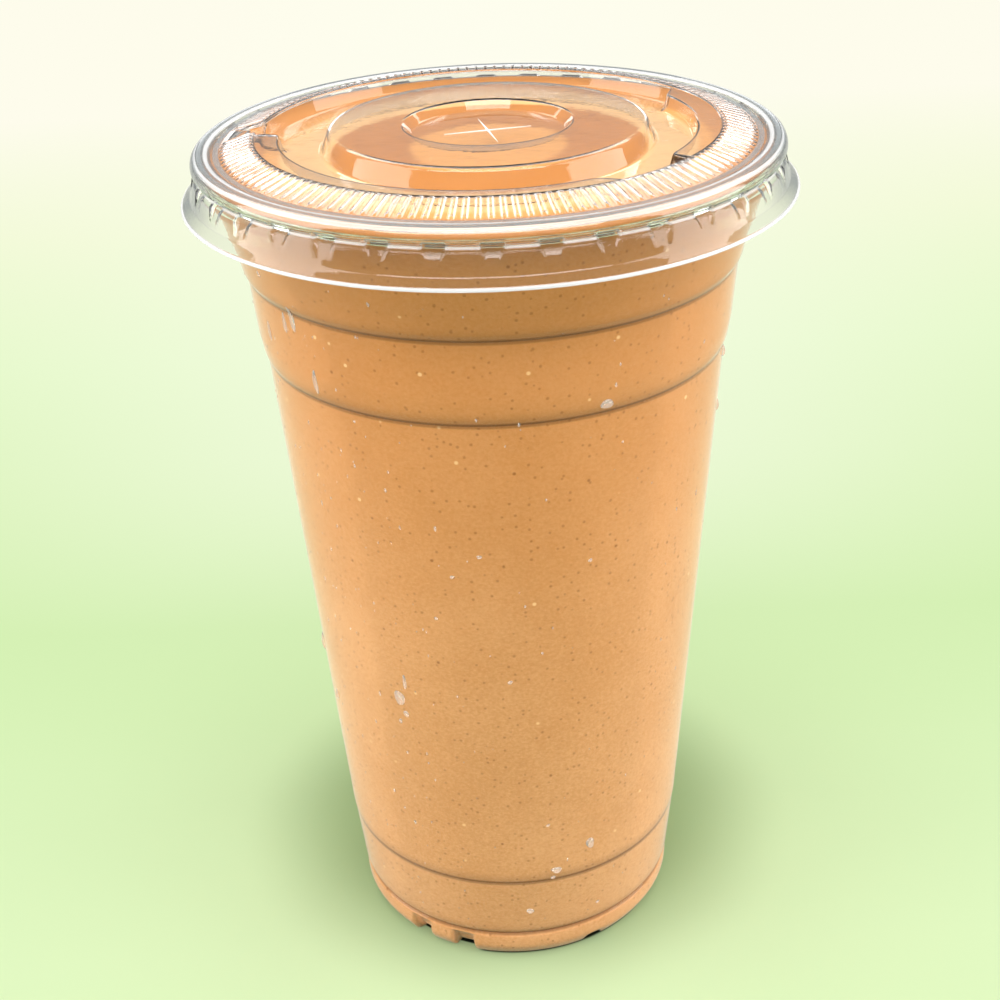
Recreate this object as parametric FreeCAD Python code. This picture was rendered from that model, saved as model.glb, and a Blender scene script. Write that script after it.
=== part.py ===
# Clear drinks cup with a flat snap-on lid, filled with a shake.
# Millimetres, +Z up, origin at the middle of the base. Azimuth 0 is the front (-Y), positive to the right (+X).
import FreeCAD, Part
import math
import os

Vector = FreeCAD.Vector

# Cup: overall sizes
cup_height = 155.3
rim_radius = 49.3
foot_radius = 29.6
cup_wall = 0.45

# Cup: rolled rim, and the neck below it
rim_roll_radius = 1.0
neck_straight = 2.3
neck_inset = 5.2

# Cup: wall sections, each ending below in a rounded shoulder that meets the next section in a crease
lower_crease_height = 20.6
upper_crease_drop = 34.9
top_crease_drop = 19.8
lower_taper = 0.093
upper_taper = 0.09
lower_step = 0.45
upper_step = 0.7
top_step = 1.45
shoulder_length = 4.6
shoulder_rise = 1.3
crease_rounding = 0.15

# Cup: foot
foot_height = 6.4
foot_swell = 1.75
foot_rounding = 2.2
foot_crease_depth = 0.45
foot_shoulder = 1.2
foot_ring_width = 4.4
punt_height = 3.2

# Foot: pressed panels and arched notches, in pairs opposite each other
panel_depth = 1.6
panel_top_gap = 1.0
panel_azimuths = (-38.2, -20.9)
panel_width = 4.2
notch_azimuth = 28.7
notch_radius = 2.2
notch_height = 1.8
notch_depth = 2.2

# Lid: sheet and fit on the rim
lid_sheet = 0.35
rim_clearance = 0.35

# Lid: skirt, flange and snap lugs
flange_width = 2.3
skirt_depth = 6.85
neck_pinch = 0.5
skirt_flare = 0.6
lug_count = 36
lug_top_width = 3.6
lug_bottom_width = 2.2
lug_height = 2.3
lug_top_slope = 1.2
lug_reach = 1.1

# Lid: top, from the bead inwards
deck_rise = 2.2
valley_drop = 0.3
valley_width = 1.5
ribbed_width = 5.9
rib_count = 144
rib_width = 1.0
rib_height = 0.35
rib_end_gap = 0.45
shelf_width = 4.0
shelf_drop = 0.35
trough_width = 8.4
trough_depth = 3.2
plateau_rise = 0.45
recess_radius = 14.4
recess_depth = 1.6
wall_batter = 1.5
slit_length = 15.0
slit_width = 0.3
shelf_spans = ((-90.0, 33.0), (54.5, 122.0))
shelf_end_rounding = 3.4
pocket_azimuth = -95.5
pocket_angle = 9.0
pocket_drop = 1.9

# Shake
fill_gap = 1.65
shake_clearance = 0.1

# Values worked out from the sizes above
rim_centre = rim_radius - rim_roll_radius
rim_centre_height = cup_height - rim_roll_radius
bead_size = rim_roll_radius + rim_clearance + lid_sheet
bead_top = rim_centre_height + bead_size
deck_height = cup_height + deck_rise
ribbed_outer = rim_centre - bead_size - valley_width
ribbed_inner = ribbed_outer - ribbed_width
shelf_inner = ribbed_inner - shelf_width
plateau_radius = shelf_inner - trough_width
trough_height = deck_height - trough_depth
fill_level = cup_height - fill_gap
foot_bulge = foot_radius + foot_swell
upper_crease = cup_height - upper_crease_drop
top_crease = cup_height - top_crease_drop


def point(radius, height):
    return Vector(radius, 0, height)


def turned(face, angle=360.0, start=-90.0):
    """Turns a radius-height face about the cup's axis, from a start azimuth."""
    body = face.revolve(Vector(0, 0, 0), Vector(0, 0, 1), angle)
    body.rotate(Vector(0, 0, 0), Vector(0, 0, 1), start)
    return body


def inset(corners, depth):
    """Moves a line of (radius, height, rounding) corners to its left by depth, with mitred corners."""
    moved = []
    last = len(corners) - 1
    for i, (radius, height, rounding) in enumerate(corners):
        here = point(radius, height)
        before = here - point(*corners[i - 1][:2]) if i > 0 else None
        after = point(*corners[i + 1][:2]) - here if i < last else None
        before = (before or after).normalize()
        after = (after or before).normalize()
        left_before = point(-before.z, before.x)
        left_after = point(-after.z, after.x)
        mitre = (left_before + left_after) * (depth / (1.0 + left_before.dot(left_after)))
        turn = before.x * after.z - before.z * after.x
        new_rounding = rounding - depth * math.copysign(1.0, turn) if rounding else 0.0
        moved.append((radius + mitre.x, height + mitre.z, max(new_rounding, 0.0)))
    return moved


def rounded_edges(corners):
    """Straight runs through the corners, each corner replaced by an arc of its rounding."""
    edges = []
    last = len(corners) - 1
    here = point(*corners[0][:2])
    for i in range(1, last + 1):
        corner = point(*corners[i][:2])
        rounding = corners[i][2]
        run_end = corner
        arc = None
        if i < last and rounding > 0.02:
            back = (point(*corners[i - 1][:2]) - corner).normalize()
            ahead = (point(*corners[i + 1][:2]) - corner).normalize()
            half_angle = back.getAngle(ahead) / 2.0
            reach = rounding / math.tan(half_angle)
            bisector = (back + ahead).normalize()
            run_end = corner + back * reach
            arc_end = corner + ahead * reach
            arc_middle = corner + bisector * (rounding / math.sin(half_angle) - rounding)
            arc = Part.Arc(run_end, arc_middle, arc_end).toShape()
        if run_end.distanceToPoint(here) > 1e-4:
            edges.append(Part.LineSegment(here, run_end).toShape())
        here = run_end
        if arc:
            edges.append(arc)
            here = arc_end
    return edges


def filled_face(corners, closing):
    """Face between a rounded line of corners and the straight closing points."""
    edges = rounded_edges(corners)
    ends = [point(*corners[-1][:2])] + [point(*p) for p in closing] + [point(*corners[0][:2])]
    for a, b in zip(ends, ends[1:]):
        if a.distanceToPoint(b) > 1e-4:
            edges.append(Part.LineSegment(a, b).toShape())
    return Part.Face(Part.Wire(edges))


def sheet_face(corners, sheet):
    """Face of a bent sheet whose one side runs through the corners and whose other lies to its left."""
    other = inset(corners, sheet)
    edges = rounded_edges(corners)
    edges.append(Part.LineSegment(point(*corners[-1][:2]), point(*other[-1][:2])).toShape())
    edges.extend(reversed(rounded_edges(other)))
    edges.append(Part.LineSegment(point(*other[0][:2]), point(*corners[0][:2])).toShape())
    return Part.Face(Part.Wire(Part.__sortEdges__(edges)))


def shoulder(crease_radius, crease_height, wall_radius):
    """Corners of the crease and of the rounded shoulder that runs from it out to the section above."""
    step = wall_radius - crease_radius
    return [
        (crease_radius, crease_height, crease_rounding),
        (crease_radius + step * 0.5, crease_height + shoulder_rise, 1.6),
        (wall_radius, crease_height + shoulder_length, 5.0),
    ]


def cup_corners():
    """Outer line of the cup, from the middle of the base up to where the rim starts to roll."""
    foot_inner = foot_radius - foot_ring_width
    lower_start = foot_bulge + 0.25
    lower_end = lower_start + lower_taper * (lower_crease_height - foot_height)
    neck_start = rim_radius - neck_inset
    upper_end = neck_start - top_step
    upper_start = upper_end - upper_taper * (top_crease - upper_crease - shoulder_length)
    middle_end = upper_start - upper_step - upper_taper * shoulder_length
    middle_start = lower_end + lower_step
    neck_radius = rim_centre - rim_roll_radius + cup_wall
    corners = [
        (0, punt_height, 0),
        (foot_inner - punt_height * 0.6, punt_height, 1.5),
        (foot_inner, 0, 1.2),
        (foot_radius, 0, foot_rounding),
        (foot_bulge, foot_height * 0.45, 3.0),
        (foot_bulge, foot_height - 0.7, 0.5),
        (foot_bulge - foot_crease_depth, foot_height, crease_rounding),
        (lower_start, foot_height + foot_shoulder, 1.0),
    ]
    corners += shoulder(lower_end, lower_crease_height, middle_start)
    corners += shoulder(middle_end, upper_crease, upper_start)
    corners += shoulder(upper_end, top_crease, neck_start)
    return corners + [
        (neck_radius, rim_centre_height - neck_straight, 4.0),
        (neck_radius, rim_centre_height, 0),
    ]


def foot_cutters(depth):
    """Pressed panels and arched notches of the foot, each grown by depth on every side."""
    cutters = []
    reach = foot_bulge + 3
    top = foot_height - panel_top_gap + depth
    inner = foot_bulge - panel_depth - depth
    angle = math.degrees((panel_width + 2 * depth) / foot_bulge)
    for turn in (0.0, 180.0):
        for azimuth in panel_azimuths:
            face = Part.Face(Part.makePolygon([
                point(inner - 0.6, -1), point(reach, -1), point(reach, top), point(foot_bulge, top),
                point(inner, top - panel_depth), point(inner - 0.6, -1)]))
            cutters.append(turned(face, angle, azimuth + turn - 90.0 - angle / 2.0))
        length = notch_depth + depth + 4
        start = Vector(foot_bulge - notch_depth - depth, 0, notch_height - notch_radius)
        notch = Part.makeCylinder(notch_radius + depth, length, start, Vector(1, 0, 0))
        notch.rotate(Vector(0, 0, 0), Vector(0, 0, 1), notch_azimuth + turn - 90.0)
        cutters.append(notch)
    return cutters


def cup_form(depth, top):
    """Solid of the cup's outer shape, shrunk by depth and closed flat at the top."""
    corners = inset(cup_corners(), depth)
    corners[0] = (0, corners[0][1], 0)
    body = turned(filled_face(corners, [(corners[-1][0], top), (0, top)]))
    return body.cut(foot_cutters(depth))


def rolled_rim():
    """Rim rolled outwards into an open tube."""
    inner = rim_roll_radius - cup_wall
    left = rim_centre - inner
    right = rim_centre + inner
    corners = [
        (left, rim_centre_height, 0),
        (left, rim_centre_height + inner, inner - 0.01),
        (right, rim_centre_height + inner, inner - 0.01),
        (right, rim_centre_height - inner, inner - 0.01),
        (rim_centre - inner * 0.3, rim_centre_height - inner, 0),
    ]
    return turned(sheet_face(corners, cup_wall))


def make_cup():
    shell = cup_form(0, rim_centre_height).cut(cup_form(cup_wall, cup_height + 5))
    return shell.fuse(rolled_rim()).removeSplitter()


def make_shake():
    body = cup_form(cup_wall + shake_clearance, cup_height + 5)
    below_level = Part.makeCylinder(rim_radius, fill_level + 5, Vector(0, 0, -5))
    return body.common(below_level)


def lid_corners():
    """Top line of the lid, from its middle out to the edge of the flange."""
    plateau_height = deck_height + plateau_rise
    bead_left = rim_centre - bead_size
    bead_right = rim_centre + bead_size
    skirt_low = rim_centre_height - skirt_depth
    return [
        (0, plateau_height - recess_depth, 0),
        (recess_radius - wall_batter, plateau_height - recess_depth, 0.7),
        (recess_radius, plateau_height, 0.6),
        (plateau_radius, plateau_height, 1.2),
        (plateau_radius + wall_batter, trough_height, 0.8),
        (ribbed_inner - wall_batter * 0.5, trough_height, 0.8),
        (ribbed_inner, deck_height, 0.5),
        (ribbed_outer, bead_top - valley_drop, 0.5),
        (bead_left, bead_top - valley_drop, 0.8),
        (bead_left + bead_size * 0.4, bead_top, 0.8),
        (bead_right, bead_top, bead_size - 0.01),
        (bead_right, rim_centre_height - 0.5, 1.0),
        (bead_right - neck_pinch, rim_centre_height - 1.5, 0.6),
        (bead_right + skirt_flare, skirt_low + 1.6, 1.0),
        (bead_right + flange_width, skirt_low, 0),
    ]


def shelf_block(span, depth):
    """Raised shelf along the inside of the ribbed ring, shrunk by depth, with its far end rounded outwards."""
    top = deck_height - shelf_drop - depth
    low = trough_height - 1.0
    inner = shelf_inner + depth
    outer = ribbed_inner + 0.6
    face = Part.Face(Part.makePolygon([
        point(inner - wall_batter * 0.5, low), point(outer, low), point(outer, top),
        point(inner + 0.4, top), point(inner, top - 0.5), point(inner - wall_batter * 0.5, low)]))
    shrink = math.degrees(depth / inner)
    block = turned(face, span[1] - span[0] - 2 * shrink, span[0] + shrink - 90.0)
    return block.cut(shelf_end_cutter(inner, span[1] - shrink, shelf_end_rounding - depth, low))


def shelf_end_cutter(inner, end, rounding, low):
    """What the rounded end leaves off: a corner block less a cylinder of the rounding."""
    height = trough_depth + 4
    centre = Vector(inner + rounding, -rounding, low - 1)
    corner = Part.makeBox(rounding + 3, rounding + 3, height, Vector(inner - 3, -rounding, low - 1))
    cutter = corner.cut(Part.makeCylinder(rounding, height, centre))
    cutter.rotate(Vector(0, 0, 0), Vector(0, 0, 1), end - 90.0)
    return cutter


def pocket_block(depth):
    """Sunk pocket at the shelf's square end, reaching from the trough into the ribbed ring, grown by depth."""
    floor = deck_height - pocket_drop - depth
    inner = shelf_inner - depth
    outer = ribbed_inner + 2.2 + depth
    top = deck_height + 3
    face = Part.Face(Part.makePolygon([
        point(inner, floor), point(outer - 0.5, floor), point(outer, top), point(inner, top), point(inner, floor)]))
    angle = pocket_angle + 2 * math.degrees(depth / ribbed_inner)
    return turned(face, angle, pocket_azimuth - angle / 2.0 - 90.0)


def lid_form(depth, low, edge_reach):
    """Solid below the lid's top surface, shrunk by depth, down to a flat underside."""
    corners = inset(lid_corners(), -depth)
    corners[0] = (0, corners[0][1], 0)
    last, end = corners[-2], corners[-1]
    stretch = 1.0 + edge_reach / (end[0] - last[0])
    corners[-1] = (last[0] + (end[0] - last[0]) * stretch, last[1] + (end[1] - last[1]) * stretch, 0)
    body = turned(filled_face(corners, [(corners[-1][0], low), (0, low)]))
    return body.fuse([shelf_block(span, depth) for span in shelf_spans]).cut(pocket_block(depth))


def flat_solid(outlines):
    """Solid closed by flat faces, each given as its corners."""
    faces = [Part.Face(Part.makePolygon(outline + outline[:1])) for outline in outlines]
    return Part.makeSolid(Part.makeShell(faces))


def turned_copies(shape, count):
    copies = []
    for i in range(count):
        copy = shape.copy()
        copy.rotate(Vector(0, 0, 0), Vector(0, 0, 1), i * 360.0 / count - 90.0)
        copies.append(copy)
    return copies


def snap_lug():
    """Wedge on the inside of the skirt: deepest just under the rolled rim, fading out above and below."""
    deepest = rim_centre_height - rim_roll_radius - rim_clearance
    top = deepest + lug_top_slope
    bottom = deepest - lug_height
    outer = rim_radius + rim_clearance + lug_reach
    inner = rim_radius + rim_clearance - lug_reach
    wide = lug_top_width / 2.0
    narrow = lug_bottom_width / 2.0
    a, b = Vector(inner, -wide, deepest), Vector(inner, wide, deepest)
    c, d = Vector(outer, wide, top), Vector(outer, -wide, top)
    e, f = Vector(outer, -narrow, bottom), Vector(outer, narrow, bottom)
    return flat_solid([[a, b, c, d], [a, e, f, b], [d, c, f, e], [a, d, e], [b, f, c]])


def deck_rib():
    """Ridge with sloped ends that runs down the ribbed ring, its foot sunk in the sheet."""
    slope = (bead_top - valley_drop - deck_height) / ribbed_width
    start = ribbed_inner + rib_end_gap
    end = ribbed_outer - rib_end_gap
    half = rib_width / 2.0
    sunk = lid_sheet * 0.4

    def on_ring(radius, across, above):
        return Vector(radius, across, deck_height + slope * (radius - ribbed_inner) + above)

    a, b = on_ring(start, -half, -sunk), on_ring(start, half, -sunk)
    c, d = on_ring(end, half, -sunk), on_ring(end, -half, -sunk)
    e, f = on_ring(start + half, 0, rib_height), on_ring(end - half, 0, rib_height)
    return flat_solid([[a, b, c, d], [a, e, b], [b, e, f, c], [c, f, d], [d, f, e, a]])


def clear_of_pocket(rib):
    middle = rib.BoundBox.Center
    azimuth = math.degrees(math.atan2(middle.x, -middle.y))
    apart = abs((azimuth - pocket_azimuth + 180.0) % 360.0 - 180.0)
    return apart > pocket_angle / 2.0 + 1.5


def straw_slit():
    """Cross cut through the recess for a straw."""
    height = deck_height + plateau_rise - recess_depth
    along = Part.makeBox(slit_length, slit_width, 4, Vector(-slit_length / 2, -slit_width / 2, height - 3))
    across = Part.makeBox(slit_width, slit_length, 4, Vector(-slit_width / 2, -slit_length / 2, height - 3))
    return [along, across]


def make_lid():
    low = rim_centre_height - skirt_depth - 1.5
    outside = lid_form(0, low, 0)
    inside = lid_form(lid_sheet, low - 2, 2.0)
    shell = outside.cut(inside)
    core = lid_form(lid_sheet * 0.5, low, 1.0)
    lugs = [lug.common(core) for lug in turned_copies(snap_lug(), lug_count)]
    ribs = [rib for rib in turned_copies(deck_rib(), rib_count) if clear_of_pocket(rib)]
    return shell.cut(straw_slit()).fuse(lugs + ribs)


def save(shape, name):
    shape = shape.Solids[0] if len(shape.Solids) == 1 else shape
    print(name, "solids", len(shape.Solids), "valid", shape.isValid(), "volume", round(shape.Volume, 1))
    shape.exportStep("parts/" + name + ".step")


os.makedirs("parts", exist_ok=True)
save(make_cup(), "cup")
save(make_lid(), "lid")
save(make_shake(), "shake")
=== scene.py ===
import math
import bpy
import numpy as np
from mathutils import Matrix, Vector


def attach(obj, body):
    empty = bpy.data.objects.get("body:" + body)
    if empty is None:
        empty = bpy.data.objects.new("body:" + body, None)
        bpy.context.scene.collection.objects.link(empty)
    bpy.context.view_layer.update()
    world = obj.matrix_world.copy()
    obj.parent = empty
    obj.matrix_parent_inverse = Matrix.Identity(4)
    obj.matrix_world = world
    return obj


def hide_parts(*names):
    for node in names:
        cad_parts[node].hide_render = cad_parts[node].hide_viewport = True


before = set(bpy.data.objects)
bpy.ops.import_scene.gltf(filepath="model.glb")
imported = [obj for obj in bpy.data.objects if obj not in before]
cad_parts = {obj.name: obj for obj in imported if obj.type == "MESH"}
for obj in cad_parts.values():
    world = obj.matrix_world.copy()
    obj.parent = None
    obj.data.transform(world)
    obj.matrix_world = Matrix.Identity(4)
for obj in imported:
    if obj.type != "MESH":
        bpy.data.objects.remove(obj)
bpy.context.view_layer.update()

mm = 0.001  # metres in one millimetre
rng = np.random.default_rng(24)


class Wire:  # one shader socket, so that sums on sockets read as sums
    def __init__(self, bench, socket):
        self.bench = bench
        self.socket = socket

    def math(self, operation, a, b):
        return self.bench.math(operation, a, b)

    def __add__(self, other):
        return self.math("ADD", self, other)

    def __sub__(self, other):
        return self.math("SUBTRACT", self, other)

    def __rsub__(self, other):
        return self.math("SUBTRACT", other, self)

    def __mul__(self, other):
        return self.math("MULTIPLY", self, other)

    def __truediv__(self, other):
        return self.math("DIVIDE", self, other)

    def __rtruediv__(self, other):
        return self.math("DIVIDE", other, self)

    def __gt__(self, other):
        return self.math("GREATER_THAN", self, other)

    def __lt__(self, other):  # the reflected form of greater than
        return self.math("LESS_THAN", self, other)

    __radd__ = __add__
    __rmul__ = __mul__


class Bench:  # a node tree under construction, for a material or the world
    def __init__(self, tree):
        self.tree = tree
        tree.nodes.clear()

    def add(self, kind, settings=None, sockets=None, output=0):
        node = self.tree.nodes.new(kind)
        for key, value in (settings or {}).items():
            if key == "stops":
                self.setStops(node.color_ramp.elements, value)
            else:
                setattr(node, key, value)
        for key, value in (sockets or {}).items():
            if isinstance(value, Wire):
                self.tree.links.new(value.socket, node.inputs[key])
            else:
                node.inputs[key].default_value = value
        return Wire(self, node.outputs[output] if node.outputs else None)

    def setStops(self, elements, stops):
        while len(elements) < len(stops):
            elements.new(1.0)
        for element, (position, colour) in zip(elements, stops):
            element.position = position
            element.color = colour

    def part(self, wire, output):  # another output of a node that is already there
        return Wire(self, wire.socket.node.outputs[output])

    def math(self, operation, a, b=0.0):
        return self.add("ShaderNodeMath", {"operation": operation}, {0: a, 1: b})

    def size(self, value):  # without its sign
        return self.math("ABSOLUTE", value)

    def vector(self, operation, a, b, output=0):
        return self.add("ShaderNodeVectorMath", {"operation": operation}, {0: a, 1: b}, output)

    def distance(self, place, centre=(0, 0, 0)):
        return self.vector("DISTANCE", place, centre, 1)

    def place(self):  # Object coordinates
        return self.add("ShaderNodeTexCoord", output=3)

    def axes(self, vector):  # its three numbers
        first = self.add("ShaderNodeSeparateXYZ", {}, {0: vector})
        return first, self.part(first, 1), self.part(first, 2)

    def noise(self, place, scale, detail=2.0, roughness=0.5):
        return self.add("ShaderNodeTexNoise", {}, {"Vector": place, "Scale": scale, "Detail": detail,
                                                   "Roughness": roughness})

    def bump(self, height, strength, distance):
        return self.add("ShaderNodeBump", {}, {"Height": height, "Strength": strength, "Distance": distance})

    def edgeOn(self, blend):  # 0 where the surface faces the eye, towards 1 where it is seen edge on
        return self.add("ShaderNodeLayerWeight", {}, {"Blend": blend}, 1)

    def band(self, value, low, high):  # 0 below low, 1 above high, smooth between
        return self.add("ShaderNodeMapRange", {"interpolation_type": "SMOOTHSTEP"},
                        {"Value": value, "From Min": low, "From Max": high})

    def ring(self, value, a, b, c, d):  # 0 outside a to d, 1 from b to c, smooth between
        return self.band(value, a, b) * self.band(value, d, c)

    def mix(self, factor, a, b):
        return self.add("ShaderNodeMix", {"data_type": "RGBA"}, {0: factor, 6: a, 7: b}, 2)

    def principled(self, sockets):
        return self.add("ShaderNodeBsdfPrincipled", {}, sockets)

    def blend(self, factor, a, b):  # of two shaders
        return self.add("ShaderNodeMixShader", {}, {0: factor, 1: a, 2: b})

    def finish(self, shader):
        self.add("ShaderNodeOutputMaterial", {}, {"Surface": shader})

    def finishClear(self, shader, shadow):  # shadow is what the rays that cast shadows keep on their way
        film = self.add("ShaderNodeBsdfTransparent", {}, {"Color": shadow})
        shadowRay = self.add("ShaderNodeLightPath", output=1)
        self.finish(self.blend(shadowRay, shader, film))


def newBench(name):  # a new material and the bench for its nodes
    material = bpy.data.materials.new(name)
    material.use_nodes = True
    return material, Bench(material.node_tree)


def srgb(red, green, blue):  # a colour as a painter reads it, 0 to 255, turned into light
    values = [c / 255 for c in (red, green, blue)]
    return tuple(c / 12.92 if c <= 0.04045 else ((c + 0.055) / 1.055) ** 2.4 for c in values) + (1.0,)


def smooth(value, low, high):  # 0 at low, 1 at high, along 3t^2 - 2t^3
    t = np.clip((value - low) / (high - low), 0.0, 1.0)
    return t * t * (3.0 - 2.0 * t)


def insetLine(corners, depth):
    # each corner of the line moves to its left by depth, along the mitre of the two runs that meet there:
    # mitre = (left of one + left of the other) * depth / (1 + their dot product)
    points = np.array([c[:2] for c in corners], float)
    runs = np.diff(points, axis=0)
    runs /= np.linalg.norm(runs, axis=1)[:, None]
    before = np.vstack([runs[:1], runs])
    after = np.vstack([runs, runs[-1:]])
    leftBefore = np.stack([-before[:, 1], before[:, 0]], 1)
    leftAfter = np.stack([-after[:, 1], after[:, 0]], 1)
    mitre = (leftBefore + leftAfter) * (depth / (1.0 + (leftBefore * leftAfter).sum(1)))[:, None]
    turn = before[:, 0] * after[:, 1] - before[:, 1] * after[:, 0]
    rounding = np.array([c[2] for c in corners], float)
    rounding = np.where(rounding > 0, np.maximum(rounding - np.sign(turn) * depth, 0.0), 0.0)
    return np.column_stack([points + mitre, rounding])


def roundedLine(corners, stepDegrees=14.0, longestRun=None):
    # straight runs through (radius, height, rounding) corners; each corner becomes a circular arc that
    # leaves its runs at rounding / tan(half the corner's angle) from the corner
    corners = np.asarray(corners, float)
    line = [corners[0, :2]]
    for i in range(1, len(corners) - 1):
        corner, rounding = corners[i, :2], corners[i, 2]
        if rounding < 0.02:
            line.append(corner)
            continue
        back = corners[i - 1, :2] - corner
        ahead = corners[i + 1, :2] - corner
        back /= np.linalg.norm(back)
        ahead /= np.linalg.norm(ahead)
        half = math.acos(np.clip(back @ ahead, -1, 1)) / 2
        centre = corner + (back + ahead) / np.linalg.norm(back + ahead) * rounding / math.sin(half)
        start = corner + back * rounding / math.tan(half) - centre
        end = corner + ahead * rounding / math.tan(half) - centre
        sweep = math.pi - 2 * half
        t = np.linspace(0, 1, 2 + int(math.degrees(sweep) / stepDegrees))[:, None]
        arc = (start * np.sin((1 - t) * sweep) + end * np.sin(t * sweep)) / math.sin(sweep)
        line.extend(centre + arc)
    line.append(corners[-1, :2])
    line = np.array(line)
    if longestRun:
        line = splitRuns(line, longestRun)
    return line


def splitRuns(line, longest):  # straight runs longer than longest get evenly spaced points
    parts = []
    for a, b in zip(line, line[1:]):
        count = max(1, int(math.ceil(np.linalg.norm(b - a) / longest)))
        parts.append(a + (b - a) * np.arange(count)[:, None] / count)
    parts.append(line[-1:])
    return np.vstack(parts)


def turnedBand(line, columns, bend):
    # grid of points: radius and height of the line, turned through columns azimuths, then bent by a function;
    # an azimuth of 0 is the front: x = radius * sin(azimuth), y = -radius * cos(azimuth)
    azimuth = np.arange(columns) * 2 * math.pi / columns
    radius = np.repeat(line[:, :1], columns, 1)
    height = np.repeat(line[:, 1:2], columns, 1)
    azimuths = np.repeat(azimuth[None, :], len(line), 0)
    radius, height, azimuths = bend(radius, height, azimuths)
    return np.stack([radius * np.sin(azimuths), -radius * np.cos(azimuths), height], 2)


def turnedMesh(name, bands, startPole, endPole):
    # bands of turned grids, joined one after another; where a band has a multiple of its neighbour's
    # columns, each wide face takes all the narrow edges along its side; poles are single points
    points, faces, rows, first = [], [], [], 0
    for line, columns, bend in bands:
        grid = turnedBand(line, columns, bend)
        points.append(grid.reshape(-1, 3))
        index = first + np.arange(len(line) * columns).reshape(len(line), columns)
        nextColumn = np.roll(index, -1, 1)
        quads = np.stack([index[:-1], nextColumn[:-1], nextColumn[1:], index[1:]], 2).reshape(-1, 4)
        faces.extend(quads.tolist())
        rows.append((index[0], index[-1]))
        first += len(line) * columns
    for (_, above), (below, _) in zip(rows, rows[1:]):
        faces.extend(joinRows(above, below))
    for pole, row, flip in ((startPole, rows[0][0], False), (endPole, rows[-1][1], True)):
        points.append(np.array([[0.0, 0.0, pole]]))
        nextRow = np.roll(row, -1)
        fan = np.stack([nextRow, row, np.full(len(row), first)], 1)
        faces.extend((fan[:, ::-1] if flip else fan).tolist())
        first += 1
    return meshObject(name, np.vstack(points) * mm, faces)


def joinRows(a, b):  # faces between two rings of vertices, one of which may have a multiple of the other's
    if len(a) <= len(b):
        ratio = len(b) // len(a)
        fine = np.stack([np.roll(b, -k)[::ratio] for k in range(ratio + 1)], 1)
        return np.column_stack([a, np.roll(a, -1), fine[:, ::-1]]).tolist()
    ratio = len(a) // len(b)
    fine = np.stack([np.roll(a, -k)[::ratio] for k in range(ratio + 1)], 1)
    return np.column_stack([fine, np.roll(b, -1), b]).tolist()


def meshObject(name, points, faces, rounded=True):
    mesh = bpy.data.meshes.new(name)
    mesh.from_pydata(points, [], faces)
    mesh.polygons.foreach_set("use_smooth", np.full(len(mesh.polygons), rounded))
    mesh.update()
    piece = bpy.data.objects.new(name, mesh)
    bpy.context.scene.collection.objects.link(piece)
    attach(piece, "root")
    return piece


def givePaint(piece, material):
    piece.data.materials.append(material)


cupValues = {  # millimetres, and tapers as millimetres outwards for each one up
    "wall": 0.45, "height": 155.3, "rimRadius": 49.3, "rollRadius": 1.0, "neckStraight": 2.3,
    "neckInset": 5.2, "lowerCrease": 20.6, "upperCrease": 120.4, "topCrease": 135.5, "lowerTaper": 0.093,
    "upperTaper": 0.09, "lowerStep": 0.45, "upperStep": 0.7, "topStep": 1.45, "shoulderLength": 4.6,
    "shoulderRise": 1.3, "creaseRounding": 0.15, "footRadius": 29.6, "footSwell": 1.75, "footHeight": 6.4,
    "footCrease": 0.45, "footShoulder": 1.2, "footRing": 4.4, "footStart": 0.25, "punt": 3.2, "columns": 480,
    # marks pressed into the foot, in degrees from the front and millimetres
    "panels": (-38.2, -20.9), "panelHalf": 4.3, "panelEdge": 1.2, "panelDepth": 1.6, "panelLift": 0.6,
    "panelTop": 5.4, "liftHeight": 3.0, "notch": 28.7, "notchHalf": 4.1, "notchHeight": 1.8,
    # the plastic: how it bends light, its faint ripple, and its haze where the wall is seen edge on
    "tint": (0.985, 0.98, 0.97, 1), "bending": 1.25, "roughness": 0.08, "rippleScale": 60.0, "ripple": 0.04,
    "rippleDepth": 0.001, "haze": (0.9, 0.84, 0.74, 1), "hazeShare": 0.04, "hazeFrom": (0.15, 0.85),
    "edgeBlend": 0.5, "shadow": (0.97, 0.97, 0.96, 1),
}


def shoulder(creaseRadius, creaseHeight, wallRadius):  # the crease, then the rounded step out to the wall
    c = cupValues
    step = wallRadius - creaseRadius
    return [
        (creaseRadius, creaseHeight, c["creaseRounding"]),
        (creaseRadius + step * 0.5, creaseHeight + c["shoulderRise"], 1.6),
        (wallRadius, creaseHeight + c["shoulderLength"], 5.0),
    ]


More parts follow.
